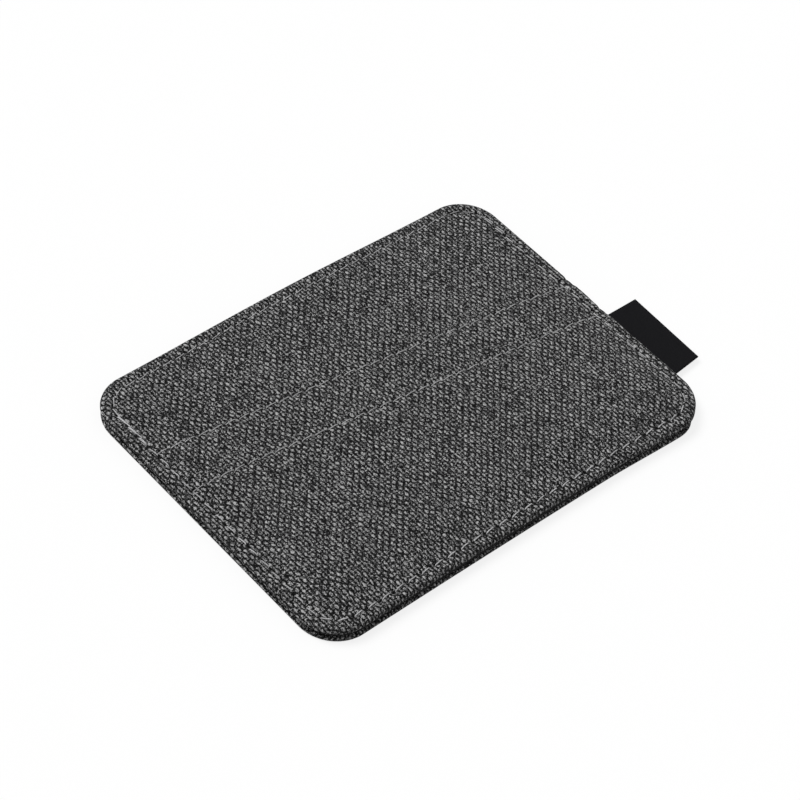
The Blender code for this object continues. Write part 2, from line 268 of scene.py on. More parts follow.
def along(path, distances):
    """Points at these distances along a path, and the way the path runs there."""
    points = np.array(path)
    steps = np.hypot(*np.diff(points, axis=0).T)
    reach = np.concatenate(([0.0], np.cumsum(steps)))
    found, ahead, behind = (
        np.stack([np.interp(distances + shift, reach, points[:, k]) for k in (0, 1)], axis=-1)
        for shift in (0.0, LOOK_AHEAD, -LOOK_AHEAD)
    )
    way = ahead - behind
    return found, way / np.linalg.norm(way, axis=-1, keepdims=True)


def needle_holes(path, pitch):
    stitches = round(path_length(path) / pitch)
    return along(path, np.linspace(0.0, path_length(path), stitches + 1))[0]


holes = {
    "seam": needle_holes(seam_path, SEAM_PITCH),
    "mouth": needle_holes(mouth_path, HEM_PITCH),
    "upper": needle_holes(hem_path(*UPPER), HEM_PITCH),
    "lower": needle_holes(hem_path(*LOWER), HEM_PITCH),
}
chance = np.random.default_rng(7)
tightness = {name: chance.uniform(*LOOSE, len(found)) for name, found in holes.items()}
seam_x, seam_y = holes["seam"].T
left_or_near = (seam_x < ROW_LEFT + 1 * MM) | (seam_y < ROW_NEAR + 1 * MM)
tightness["seam"] = np.where(left_or_near, chance.uniform(*TIGHT, len(seam_x)), RIGHT_SIDE_PULL)
print("needle holes:", {name: len(found) for name, found in holes.items()})

# %% Dents that the stitches pull into the cloth
GROOVE = 0.14 * MM
GROOVE_WIDTH = 0.55 * MM
DIMPLE = 0.30 * MM
DIMPLE_WIDTH = 0.50 * MM
ROW_BEND = (
    ((ROW_LEFT + ROW_RIGHT) / 2, (ROW_NEAR + ROW_FAR) / 2),
    ((ROW_RIGHT - ROW_LEFT) / 2, (ROW_FAR - ROW_NEAR) / 2),
    ROW_CORNER,
)


def hole_pull(x, y, *names):
    """How hard a needle hole pulls the cloth in: 1 at a tight one, and little 1 mm off."""
    pull = np.zeros_like(x)
    for name in names:
        for (hole_x, hole_y), tight in zip(holes[name], tightness[name]):
            apart = (x - hole_x) ** 2 + (y - hole_y) ** 2
            pull = np.maximum(pull, tight * np.exp(-apart / DIMPLE_WIDTH ** 2))
    return pull


def groove(from_row):
    return GROOVE * np.exp(-((from_row / GROOVE_WIDTH) ** 2))


def rim_dent(x, y):
    return groove(past_edge(x, y, *ROW_BEND)[0])


print("a tight needle hole is", round((GROOVE + DIMPLE) / MM, 2), "mm deep")

# %% [markdown]
# A facing lies on the wall below it. In the middle it is a step higher, but at the
# rim the plies are squeezed flush by the seam: the photograph shows no step in the outline.
# So each ply's lift over the bare wall is worked out for both places and blended.

# %% Plies of the front
CLOTH = 0.19 * MM  # thickness of a ply once it is pressed and sewn
HEM_ROLL = 0.195 * MM
HEM_WIDTH = 5.5 * MM
HEM_FALL = 2.0 * MM
RIM_HEM_LIFT = 0.10 * MM
FOLD_PULLED = 0.22 * MM  # the side seam pulls the end of a fold down into the ply below it
FOLD_EASE = 2.5 * MM
STEP = 0.40 * MM  # a facing and its lining, in the middle of the holder
HEM_EXTRA = 0.15 * MM
UNDER_HEM = 0.30 * MM
UNDER_PLY = 0.20 * MM
SQUEEZED = (1.5 * MM, 9 * MM)  # flush with the rim up to here, and loose from here on
COVER_EASE = (-1.2 * MM, 0.3 * MM)


def middle_share(x, y):
    """0 along the rim, 1 well inside it."""
    return smooth(-past_edge(x, y, *FRONT_BEND)[0], *SQUEEZED)


def below(x, y, fold, slant):
    """Distance square to a slot's fold, towards the near side."""
    return (fold_y(x, fold, slant) - y) * math.cos(slant)


def covered(x, y, slot):
    return smooth(below(x, y, *slot), *COVER_EASE)


def wall_lift(x, y):
    rim = -UNDER_HEM * covered(x, y, UPPER) - UNDER_PLY * covered(x, y, LOWER)
    return rim * (1 - middle_share(x, y)) - rim_dent(x, y)


def facing_lift(x, y, slot, steps):
    """Lift of a facing's face: raised over its hem, then falling to one ply."""
    middle = middle_share(x, y)
    gone = below(x, y, *slot)
    hem = 1 - smooth(gone, HEM_WIDTH, HEM_WIDTH + HEM_FALL)
    inside = steps * STEP + HEM_EXTRA * hem
    at_rim = RIM_HEM_LIFT * hem - FOLD_PULLED * (1 - smooth(gone, 0.0, FOLD_EASE))
    return inside * middle + at_rim * (1 - middle) - rim_dent(x, y) - groove(gone - HEM_ROW)


def upper_lift(x, y):
    tucked = UNDER_HEM * covered(x, y, LOWER) * (1 - middle_share(x, y))
    return facing_lift(x, y, UPPER, 1) - tucked


def lower_lift(x, y):
    return facing_lift(x, y, LOWER, 2)


print("in the middle a hem stands", round((STEP + HEM_EXTRA) / MM, 2), "mm over the wall")

# %% [markdown]
# Each cloth is a grid. Its lines are close together at the rim, where it bends, and wider
# inside, which a subdivided plane can't give. Quads past the cut edge are dropped, and the
# vertices along the cut are pulled onto it.

# %% Grid lines
MARGIN = 5.0 * MM  # turned in past the roll
FINE = 0.3 * MM
COARSE = 0.42 * MM
WRAPPED = math.pi * NEAR_ROLL
CUT_PAST = WRAPPED + MARGIN
FINE_BAND = 3.6 * MM
MARGIN_LINES = 7


def grid_lines(half, middle):
    """Places of grid lines from one cut edge to the other, fine where the cloth bends."""
    inner = half - FINE_BAND
    outer = half + WRAPPED
    fine = np.linspace(inner, outer, round((outer - inner) / FINE) + 1)
    spare = np.linspace(outer, half + CUT_PAST, MARGIN_LINES)[1:]
    inside = np.linspace(-inner, inner, round(2 * inner / COARSE) + 1)[1:-1]
    side = np.concatenate((fine, spare))
    return middle + np.concatenate((-side[::-1], inside, side))


def trimmed(x, y, bend):
    """The grid with its edge pulled onto the cut, and which of its quads lie on the cloth."""
    distance, out_x, out_y = past_edge(x, y, *bend)
    spill = np.maximum(distance - CUT_PAST, 0.0)
    near = distance <= CUT_PAST + 0.5 * MM
    keep = near[:-1, :-1] & near[1:, :-1] & near[:-1, 1:] & near[1:, 1:]
    return x - out_x * spill, y - out_y * spill, keep


def grid_quads(shape, keep=slice(None), flip=False):
    """Four vertex numbers for each quad of a grid, or only for those kept."""
    index = np.arange(shape[0] * shape[1]).reshape(shape)
    ring = [index[:-1, :-1], index[:-1, 1:], index[1:, 1:], index[1:, :-1]]
    if flip:
        ring = ring[::-1]
    return np.stack([corner[keep].ravel() for corner in ring], axis=-1)


def used_only(quads, *arrays):
    """Drops the vertices that no quad uses."""
    used = np.unique(quads)
    renumber = np.zeros(quads.max() + 1, int)
    renumber[used] = np.arange(len(used))
    return [renumber[quads]] + [array[used] for array in arrays]


FRONT_LINES = grid_lines(FRONT_BEND[1][0], FRONT_BEND[0][0])
print(len(FRONT_LINES), "grid lines across the front")

# %% [markdown]
# A weave that is projected from above would smear over the rim. So the flat place of every
# vertex is kept as a UV map in millimetres, and how hard the nearest needle hole pulls is
# kept as an attribute. Solidify then gives the sheet the thickness of its ply.


# %% A mesh from flat points
def new_piece(name, points, quads, material):
    mesh = bpy.data.meshes.new(name)
    mesh.from_pydata(points.tolist(), [], quads.tolist())
    mesh.materials.append(material)
    mesh.shade_smooth()
    made = bpy.data.objects.new(name, mesh)
    bpy.context.scene.collection.objects.link(made)
    return made


def cloth_piece(name, points, quads, flat, material, thickness, offset=-1.0):
    """A sheet with its flat place as UV map and the thickness of its ply."""
    made = new_piece(name, points, quads, material)
    uv = made.data.uv_layers.new(name="flat_mm")
    uv.data.foreach_set("uv", (flat[quads.ravel()] / MM).astype(np.float32).ravel())
    ply = made.modifiers.new("ply", "SOLIDIFY")
    ply.thickness = thickness
    ply.offset = offset
    print(name, len(points), "vertices")
    return made


def sewn_cloth(name, grid, points, flat, pulled, flip, shift, material):
    """A ply of the thick cloth, whose needle holes its material has to know, to paint shade round them."""
    shape, keep = grid
    flat = np.stack(flat, axis=-1).reshape(-1, 2) + np.array(shift) * MM
    quads = grid_quads(shape, keep, flip)
    quads, points, flat, pulled = used_only(quads, points.reshape(-1, 3), flat, pulled.ravel())
    made = cloth_piece(name, points, quads, flat, material, CLOTH)
    pull = made.data.attributes.new("needle_pull", "FLOAT", "POINT")
    pull.data.foreach_set("value", pulled.astype(np.float32))
    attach(made, RIDES_ON)
    return made


def wall_cloth(name, front, lift, shift, material):
    bend = FRONT_BEND if front else BACK_BEND
    middle, half, _ = bend
    x, y = np.meshgrid(grid_lines(half[0], middle[0]), grid_lines(half[1], middle[1]))
    x, y, keep = trimmed(x, y, bend)
    pull = hole_pull(x, y, "seam", "mouth")
    points = rolled(x, y, lift(x, y) - DIMPLE * pull, front)
    return sewn_cloth(name, (x.shape, keep), points, (x, y), pull, not front, shift, material)


# %% [markdown]
# A facing's grid starts at the cut edge of its hem, runs under itself to the fold, rolls
# over and comes down the front. Its first lines are parallel to the slanted fold, and
# further down they swing round until they are parallel to the near side.

# %% Slot facings
ROLL_LINES = 6
HEM_LINES = 10
SWING = (9.0 * MM, 22.0 * MM)


def facing_lines(fold):
    """(distance below the fold, drop under the face, cloth length past the fold) by line."""
    under = math.pi * HEM_ROLL
    lines = [(place, 2 * HEM_ROLL, under + place - HEM_ROLL)
             for place in np.linspace(HEM_WIDTH, HEM_ROLL, HEM_LINES)]
    for turn in math.pi * np.arange(ROLL_LINES - 1, 0, -1) / ROLL_LINES:
        around = HEM_ROLL * (1 - math.sin(turn))
        lines.append((around, HEM_ROLL * (1 - math.cos(turn)), HEM_ROLL * turn))
    reach = fold + FRONT_BEND[1][1] - FRONT_BEND[0][1] + CUT_PAST
    fine_end = reach - CUT_PAST - FINE_BAND
    bent_end = fine_end + FINE_BAND + WRAPPED
    face = (
        np.arange(HEM_ROLL, HEM_WIDTH, FINE),
        np.arange(HEM_WIDTH, fine_end, COARSE),
        np.arange(fine_end, bent_end, FINE),
        np.linspace(bent_end, reach, MARGIN_LINES),
    )
    return np.array(lines + [(place, 0.0, HEM_ROLL - place) for place in np.concatenate(face)])


def slot_cloth(name, slot, lift, row_name, shift, material):
    fold, slant = slot
    lines = facing_lines(fold)
    x, line = np.meshgrid(FRONT_LINES, np.arange(len(lines)))
    place, drop, past_fold = (lines[line, k] for k in range(3))
    swing = smooth(place, *SWING)
    start = fold_y(x, fold, slant) * (1 - swing) + fold * swing
    stretch = 1 + (1 / math.cos(slant) - 1) * (1 - swing)
    y = start - place * stretch
    cloth_y = start + past_fold * stretch
    x, y, keep = trimmed(x, y, FRONT_BEND)
    pull = hole_pull(x, y, "seam", row_name)
    points = rolled(x, y, lift(x, y) - drop - DIMPLE * pull)
    return sewn_cloth(name, (x.shape, keep), points, (x, cloth_y), pull, True, shift, material)


print("the upper facing has", len(facing_lines(UPPER[0])), "grid lines")

# %% [markdown]
# Colours are written as the sRGB values that the eye reads off a screen. Blender works in
# linear light, so one function turns them. Another adds one node with its settings and
# links. Some sockets are given by number: in Map Range, 1 and 2 are the range that comes in
# and 3 and 4 the one that goes out, in Mix, 0 is the share, and 4 and 5 or 6 and 7 are what
# it mixes, and in Vector Math, 3 is the scale.


# %% Helpers for materials
def linear(hex_colour):
    """An sRGB hex colour as linear red, green, blue and alpha."""
    parts = [int(hex_colour[k:k + 2], 16) / 255 for k in (1, 3, 5)]
    return [c / 12.92 if c <= 0.04045 else ((c + 0.055) / 1.055) ** 2.4 for c in parts] + [1.0]


def plug(node, inputs):
    """Links or fills the inputs of a node."""
    for socket, value in inputs.items() if isinstance(inputs, dict) else enumerate(inputs):
        if isinstance(value, bpy.types.NodeSocket):
            node.id_data.links.new(value, node.inputs[socket])
        else:
            node.inputs[socket].default_value = value


def add(tree, kind, inputs=(), **settings):
    """Adds a node, sets it up, links or fills its inputs, and returns its outputs."""
    made = tree.nodes.new("ShaderNode" + kind)
    for name, value in settings.items():
        setattr(made, name, value)
    plug(made, inputs)
    return made.outputs


def new_material(name, **uniform):
    """A material and its Principled shader; what is uniform is set on the shader itself."""
    material = bpy.data.materials.new(name)
    material.use_nodes = True
    shader = material.node_tree.nodes["Principled BSDF"]
    plug(shader, {socket.replace("_", " "): value for socket, value in uniform.items()})
    return material, material.node_tree, shader


print("mid grey #808080 is", round(linear("#808080")[0], 3), "in linear light")

# %% [markdown]
# The cloth is a plain weave of two yarns: a light grey melange warp that runs up the short
# way, and a darker weft along the length. Counting the threads in the photograph gives
# 0.79 mm from warp to warp and 0.88 mm from weft to weft. 10,000 modelled crossings would be
# heavy, so the weave is a formula. Each yarn rises over one crossing and dives under the
# next. The higher one shows, and where both are low the colour is darkened: painted shade
# in the gap.

# %% Heights of the two yarns
WARP_PER_MM = (1.261, 0.033, 0.0)  # the threads stand a degree or two off the piece's sides
WEFT_PER_MM = (0.057, 1.133, 0.0)
RELIEF = 0.16 * MM
# slow drift of the threads, and unevenness of a single crossing: how far, as a share of the
# spacing, over how many mm, and the noise's detail and roughness
STRAY = ((0.9, 6.25, 4.0, 0.5), (0.95, 0.625, 3.0, 0.65))
WARP_ROUND = 1.25  # the softer warp has a narrow crest, and it stands higher than the weft
EDGE_OF_YARN = 0.05


def weave_heights(tree, flat):
    """Which crossing a point is in, how high each yarn stands there, and which is on top."""
    warp = add(tree, "VectorMath", (flat, WARP_PER_MM), operation="DOT_PRODUCT")["Value"]
    weft = add(tree, "VectorMath", (flat, WEFT_PER_MM), operation="DOT_PRODUCT")["Value"]
    count = add(tree, "CombineXYZ", (warp, weft, 0.0))[0]
    for amount, size, detail, rough in STRAY:
        noise = add(tree, "TexNoise", {"Vector": flat, "Scale": 1 / size, "Detail": detail,
                                       "Roughness": rough})["Color"]
        count = add(tree, "VectorMath", (noise, (amount, amount, 0.0), count), operation="MULTIPLY_ADD")[0]
    cell = add(tree, "VectorMath", (count,), operation="FLOOR")[0]
    share = add(tree, "VectorMath", (count,), operation="FRACTION")[0]
    order = add(tree, "VectorMath", (cell, (1.0, 1.0, 0.0)), operation="DOT_PRODUCT")["Value"]
    odd = add(tree, "Math", (order, 2.0), operation="FLOORED_MODULO")[0]
    side = add(tree, "Math", (odd, -2.0, 1.0), operation="MULTIPLY_ADD")[0]
    turns = add(tree, "VectorMath", (share, (math.pi, math.pi, 0.0)), operation="MULTIPLY")[0]
    arch = add(tree, "SeparateXYZ", (add(tree, "VectorMath", (turns,), operation="SINE")[0],))
    warp_girth = add(tree, "Math", (arch[0], WARP_ROUND), operation="POWER")[0]
    half_side = add(tree, "Math", (side, 0.5), operation="MULTIPLY")[0]
    warp_height = add(tree, "Math", (half_side, arch[1], warp_girth), operation="MULTIPLY_ADD")[0]
    other_side = add(tree, "Math", (side, -1.0), operation="MULTIPLY")[0]
    weft_wave = add(tree, "Math", (other_side, arch[0], arch[1]), operation="MULTIPLY_ADD")[0]
    weft_height = add(tree, "Math", (weft_wave, 0.5), operation="MULTIPLY")[0]
    lead = add(tree, "Math", (warp_height, weft_height), operation="SUBTRACT")[0]
    warp_on_top = add(tree, "MapRange", (lead, -EDGE_OF_YARN, EDGE_OF_YARN))[0]
    height = add(tree, "Math", (warp_height, weft_height), operation="MAXIMUM")[0]
    return count, cell, warp_on_top, height


print("warp every", round(1 / WARP_PER_MM[0], 2), "mm, weft every", round(1 / WEFT_PER_MM[1], 2), "mm")

# %% [markdown]
# Melange yarn is spun from dark and light fibres. Each float has its own grey, slubs run
# along the yarn, and tufts of fibres make a fine salt and pepper. Each of these is a noise
# or a cell pattern of its real size, added to the shade.

# %% Shade of the yarns
WARP_SHADE = 0.68
WEFT_SHADE = 0.38
SLUB_THREADS = 5.0  # length of a slub, in threads
APART = 7.31  # gives each thread its own part of the noise
TUFTS_PER_MM = (4.2, 2.2)  # across and along the yarn
SHADE_PARTS = (0.26, 0.9, 0.5, 1.2)  # how much the float, slubs, mottle and grains add


def yarn_shade(tree, flat, count, cell, warp_on_top):
    """Each float has its own shade, with slubs along the yarn, and its fibres differ."""
    each = add(tree, "TexWhiteNoise", {"Vector": cell})["Value"]
    at = add(tree, "SeparateXYZ", (count,))
    key = add(tree, "VectorMath", {0: cell, 3: APART}, operation="SCALE")[0]
    key = add(tree, "SeparateXYZ", (key,))
    warp_yarn = add(tree, "CombineXYZ", (key[0], at[1], 1.5))[0]
    weft_yarn = add(tree, "CombineXYZ", (at[0], key[1], 8.5))[0]
    yarn = add(tree, "Mix", {0: warp_on_top, 4: weft_yarn, 5: warp_yarn}, data_type="VECTOR")[1]
    slubs = add(tree, "TexNoise", {"Vector": yarn, "Scale": 1 / SLUB_THREADS, "Detail": 3.0})["Fac"]
    across, lengthwise = TUFTS_PER_MM
    warp_tufts = add(tree, "VectorMath", (flat, (across, lengthwise, 1.0)), operation="MULTIPLY")[0]
    weft_tufts = add(tree, "VectorMath", (flat, (lengthwise, across, 1.0)), operation="MULTIPLY")[0]
    tufts = add(tree, "Mix", {0: warp_on_top, 4: weft_tufts, 5: warp_tufts}, data_type="VECTOR")[1]
    mottle = add(tree, "TexNoise", {"Vector": tufts, "Scale": 1.0, "Detail": 1.5,
                                    "Roughness": 0.65})["Fac"]
    mottle = add(tree, "MapRange", (mottle, 0.32, 0.68))[0]
    grains = add(tree, "TexVoronoi", {"Vector": tufts, "Scale": 1.5}, voronoi_dimensions="2D")["Color"]
    grains = add(tree, "SeparateXYZ", (grains,))[0]
    shade = add(tree, "MapRange", {0: warp_on_top, 3: WEFT_SHADE, 4: WARP_SHADE})[0]
    for source, amount in zip((each, slubs, mottle, grains), SHADE_PARTS):
        shade = add(tree, "Math", (source, amount, shade), operation="MULTIPLY_ADD")[0]
        shade = add(tree, "Math", (shade, amount / 2), operation="SUBTRACT")[0]
    return shade, mottle


print("a tuft of fibres is", [round(1 / count, 2) for count in TUFTS_PER_MM], "mm across and along")

# %% Loose fibres and plain weave
FIBRE_LEAN = math.radians(-48)
FIBRES_PER_MM = (0.55, 5.0, 1.0)  # along and across them


def loose_fibres(tree, flat):
    """Fine pale fibres that stand off the twist, most of them slanting the same way."""
    slanted = add(tree, "Mapping", {"Vector": flat, "Rotation": (0.0, 0.0, FIBRE_LEAN),
                                    "Scale": FIBRES_PER_MM})[0]
    strands = add(tree, "TexNoise", {"Vector": slanted, "Scale": 1.0, "Detail": 1.0,
                                     "Distortion": 0.4})["Fac"]
    return add(tree, "MapRange", (strands, 0.66, 0.74))[0]


YARN_SHADES = ((0.0, "#131314"), (0.30, "#353536"), (0.62, "#707071"), (1.0, "#b8b8b8"))
FIBRE_GLINT = 0.35
FIBRE_HEIGHT = 0.25
MOTTLE_HEIGHT = 0.55
# painted shade: the colour is darkened in the gaps between the yarns and round the needle holes
GAP_PAINTED_SHADE = (0.77, 1.45, 0.02, 1.0)  # between these two heights the colour goes from 2% to all
HOLE_PAINTED_SHADE = (0.25, 0.7, 1.0, 0.08)  # and between these two pulls from all to 8%


def woven_cloth():
    """Spun polyester, dyed and woven: matt and rough, with hardly any sheen."""
    material, tree, shader = new_material("two_tone_polyester_plain_weave",
                                          Roughness=0.9, Specular_IOR_Level=0.1)
    flat = add(tree, "UVMap", uv_map="flat_mm")[0]
    count, cell, warp_on_top, height = weave_heights(tree, flat)
    shade, mottle = yarn_shade(tree, flat, count, cell, warp_on_top)
    fibres = loose_fibres(tree, flat)
    shade = add(tree, "Math", (fibres, FIBRE_GLINT, shade), operation="MULTIPLY_ADD")[0]
    yarn_colour = add(tree, "ValToRGB", (shade,))["Color"]
    stops = yarn_colour.node.color_ramp.elements
    while len(stops) < len(YARN_SHADES):
        stops.new(0.5)
    for stop, (position, hex_colour) in zip(stops, YARN_SHADES):
        stop.position = position
        stop.color = linear(hex_colour)
    height = add(tree, "Math", (mottle, MOTTLE_HEIGHT, height), operation="MULTIPLY_ADD")[0]
    height = add(tree, "Math", (fibres, FIBRE_HEIGHT, height), operation="MULTIPLY_ADD")[0]
    # painted shade in the gaps, where both yarns lie low
    painted_gap_shade = add(tree, "MapRange", (height, *GAP_PAINTED_SHADE), interpolation_type="SMOOTHSTEP")[0]
    # painted shade round the needle holes, darker where a stitch pulls harder
    pull = add(tree, "Attribute", attribute_name="needle_pull")["Fac"]
    painted_hole_shade = add(tree, "MapRange", (pull, *HOLE_PAINTED_SHADE))[0]
    # both painted shades together darken the yarns' colour
    painted_shade = add(tree, "Math", (painted_gap_shade, painted_hole_shade), operation="MULTIPLY")[0]
    colour = add(tree, "VectorMath", {0: yarn_colour, 3: painted_shade}, operation="SCALE")[0]
    bump = add(tree, "Bump", {"Height": height, "Distance": RELIEF})[0]
    plug(shader, {"Base Color": colour, "Normal": bump})
    return material


CLOTH_FINISH = woven_cloth()
print("the cloth's material has", len(CLOTH_FINISH.node_tree.nodes), "nodes")

# %% [markdown]
# The four pieces of cloth are sewn now. Each is cut from another place of the bolt, which is
# its shift in millimetres, so that the same slub doesn't show twice.

# %% Sew the cloths
BACK_EASE = 0.02 * MM


def back_lift(x, y):
    return -rim_dent(x, y) - BACK_EASE


front_wall = wall_cloth("front_wall_cloth", True, wall_lift, (0.0, 0.0), CLOTH_FINISH)
upper_cloth = slot_cloth("upper_slot_cloth", UPPER, upper_lift, "upper", (131.3, 47.2), CLOTH_FINISH)
lower_cloth = slot_cloth("lower_slot_cloth", LOWER, lower_lift, "lower", (260.9, 95.7), CLOTH_FINISH)
back_wall = wall_cloth("back_wall_cloth", False, back_lift, (391.1, 141.3), CLOTH_FINISH)
for piece, node in ((front_wall, "front_panel"), (upper_cloth, "upper_slot_facing"),
                    (lower_cloth, "lower_slot_facing"), (back_wall, "back_panel")):
    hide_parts(node)

# %% [markdown]
# Linings are thin black taffeta, and the film that blocks radio is a metallised sheet. They
# lie flat inside the walls. The taffeta shows in the open mouth, and all round it closes the
# dark groove between the two rims. Neither is turned in anywhere, so a flat cut is enough.

# %% Finish of linings and film
TAFFETA_PER_MM = 4.0
CREASES_PER_MM = 0.35


def taffeta():
    """Filament polyester in a fine plain weave: black, smoother than the cloth, soft gloss."""
    material, tree, shader = new_material("black_polyester_taffeta", Roughness=0.6, Specular_IOR_Level=0.2)
    flat = add(tree, "UVMap", uv_map="flat_mm")[0]
    threads = add(tree, "TexChecker", {"Vector": flat, "Scale": TAFFETA_PER_MM,
                                       "Color1": linear("#161617"), "Color2": linear("#0b0b0c")})
    cloudy = add(tree, "TexNoise", {"Vector": flat, "Scale": 0.2, "Detail": 3.0})["Fac"]
    shade = add(tree, "MapRange", {0: cloudy, 3: 0.8, 4: 1.2})[0]
    colour = add(tree, "VectorMath", {0: threads["Color"], 3: shade}, operation="SCALE")[0]
    bump = add(tree, "Bump", {"Height": threads["Fac"], "Distance": 0.02 * MM})[0]
    plug(shader, {"Base Color": colour, "Normal": bump})
    return material


def metallised_film():
    """Plastic film with a coat of aluminium: a silver mirror, blurred and finely creased."""
    material, tree, shader = new_material("aluminium_coated_film", Roughness=0.28, Metallic=1.0)
    flat = add(tree, "UVMap", uv_map="flat_mm")[0]
    creases = add(tree, "TexNoise", {"Vector": flat, "Scale": CREASES_PER_MM, "Detail": 6.0,
                                     "Roughness": 0.6})["Fac"]
    # painted shade: the colour is darker where the crease noise is low, in the creases
    shade = add(tree, "MapRange", {0: creases, 3: 0.75, 4: 1.1})[0]
    colour = add(tree, "VectorMath", {0: linear("#c9cacc")[:3], 3: shade}, operation="SCALE")[0]
    bump = add(tree, "Bump", {"Height": creases, "Distance": 0.1 * MM})[0]
    plug(shader, {"Base Color": colour, "Normal": bump})
    return material


TAFFETA = taffeta()
FILM_FINISH = metallised_film()
print("taffeta threads every", 1 / TAFFETA_PER_MM, "mm")

# %% Flat plies
INNER_LINES = 1.2 * MM
HEM_CLEAR = 0.3 * MM


def flat_cut(name, insets, deeper, slot, height, thickness, material):
    """A thin ply cut to a rounded outline, or up to the hem of a slot where that is given."""
    middle, (half_x, half_y), corner = outline_inside(insets, deeper)
    columns = np.linspace(middle[0] - half_x, middle[0] + half_x, round(2 * half_x / INNER_LINES) + 1)
    share = np.linspace(0.0, 1.0, round(2 * half_y / INNER_LINES) + 1)
    x, t = np.meshgrid(columns, share)
    from_corner = np.maximum(np.abs(x - middle[0]) - (half_x - corner), 0.0)
    bulge = corner - np.sqrt(np.maximum(corner ** 2 - from_corner ** 2, 0.0))
    low = middle[1] - half_y + bulge
    high = middle[1] + half_y - bulge
    if slot:
        high = fold_y(x, *slot) - (HEM_WIDTH + HEM_CLEAR) / math.cos(slot[1])
    y = low + (high - low) * t
    points = np.stack((x, y, height(x, y)), axis=-1).reshape(-1, 3)
    flat = np.stack((x, y), axis=-1).reshape(-1, 2)
    made = cloth_piece(name, points, grid_quads(x.shape), flat, material, thickness)
    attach(made, RIDES_ON)
    return made


print("a flat ply has a grid line every", round(INNER_LINES / MM, 1), "mm")

# %% Cut the film
FILM = 0.04 * MM
FILM_INSET = 3.7 * MM
FILM_DEPTH = 0.78 * MM  # below the front's face


def front_film_height(x, y):
    return front_height(x, y) - FILM_DEPTH


def back_film_height(x, y):
    return np.full_like(x, BACK_ROLL)


for name, insets, height, node in (("front_film", FRONT_INSETS, front_film_height, "front_shield"),
                                   ("back_film", BACK_INSETS, back_film_height, "back_shield")):
    film = flat_cut(name, insets, FILM_INSET, None, height, FILM, FILM_FINISH)
    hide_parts(node)

# %% Cut the linings
LINING = 0.05 * MM
LINING_INSET = 0.85 * MM  # the black linings reach into the groove between front and back
SLOT_INSET = 3.6 * MM  # the slot linings stop short of the seam, which grips the cloth alone
UNDER_WALL = 0.04 * MM
OVER_BACK = 2 * BACK_ROLL + 0.03 * MM
OVER_PLY = 0.08 * MM


def below_front_wall(x, y):
    return front_height(x, y) - 2 * roll_radius(y) - UNDER_WALL


def above_back_wall(x, y):
    return np.full_like(x, OVER_BACK + LINING)


def on_wall(x, y):
    return rolled(x, y, wall_lift(x, y) + OVER_PLY)[..., 2]


def on_upper(x, y):
    return rolled(x, y, upper_lift(x, y) + OVER_PLY)[..., 2]


for name, insets, deeper, slot, height, node in (
        ("front_taffeta", FRONT_INSETS, LINING_INSET, None, below_front_wall, "front_lining"),
        ("back_taffeta", BACK_INSETS, LINING_INSET, None, above_back_wall, "back_lining"),
        ("upper_slot_taffeta", FRONT_INSETS, SLOT_INSET, UPPER, on_wall, "upper_slot_lining"),
        ("lower_slot_taffeta", FRONT_INSETS, SLOT_INSET, LOWER, on_upper, "lower_slot_lining")):
    flat_cut(name, insets, deeper, slot, height, LINING, TAFFETA)
    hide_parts(node)

# %% [markdown]
# Sewing thread is three thin yarns twisted together. Each stitch comes up out of one needle
# hole, lies on the cloth, a little askew to the row, and dives into the next. A bevelled
# curve would give a plain wire, so three small tubes are wound round the path of each row.

# %% Path of the thread
SEAM_THREAD = 0.33 * MM
HEM_THREAD = 0.22 * MM
STITCH_POINTS = 12
RESTS = 0.40  # height of the thread's middle over the cloth, as a share of its thickness
DIVE = 1.0 * MM
SEAM_SHOWN = 0.48  # share of a stitch that lies on the cloth before it dives
HEM_SHOWN = 0.68
SKEW = 0.20 * MM
BOW = 0.14 * MM  # each stitch bends a little to one side
WAVER = 0.06 * MM
BACK_REST = 0.03 * MM


def visible_lift(x, y):
    """Lift of whichever ply is on top."""
    lift = np.where(below(x, y, *UPPER) > 0, upper_lift(x, y), wall_lift(x, y))
    return np.where(below(x, y, *LOWER) > 0, lower_lift(x, y), lift)


def stitch_line(path, pitch, thickness, front=True, sideways=0.0, shown=SEAM_SHOWN):
    """Points in space along a row of stitches."""
    stitches = round(path_length(path) / pitch)
    step = path_length(path) / stitches
    share = (1 - np.cos(np.linspace(0.0, math.pi, STITCH_POINTS + 1))) / 2
    t = np.concatenate([share[:-1] + n for n in range(stitches)] + [[stitches]])
    inside = t % 1.0
    found, way = along(path, t * step)
    bowed = BOW * (1 - (2 * inside - 1) ** 2)
    waver = np.interp(t, np.arange(stitches + 1), chance.normal(0.0, WAVER, stitches + 1))
    askew = sideways + waver + bowed + SKEW * (2 * inside - 1)
    x = found[:, 0] - way[:, 1] * askew
    y = found[:, 1] + way[:, 0] * askew
    lift = thickness * RESTS - DIVE * smooth(np.abs(2 * inside - 1), shown, 1.0)
    if front:
        return rolled(x, y, visible_lift(x, y) + lift)
    return rolled(x, y, np.minimum(lift, BACK_REST) - rim_dent(x, y), front=False)


print("a seam stitch shows for about", round(SEAM_PITCH * SEAM_SHOWN / MM, 1), "mm")

# %% Three yarns round the path
PLIES = 3
PLY_SIDES = 5
LAY = 1.1 * MM  # length in which the twist goes once round
ORBIT = 0.25  # how far a yarn's middle lies from the thread's, as a share of its thickness
PLY_RADIUS = 0.27
FLATTEN = 0.75


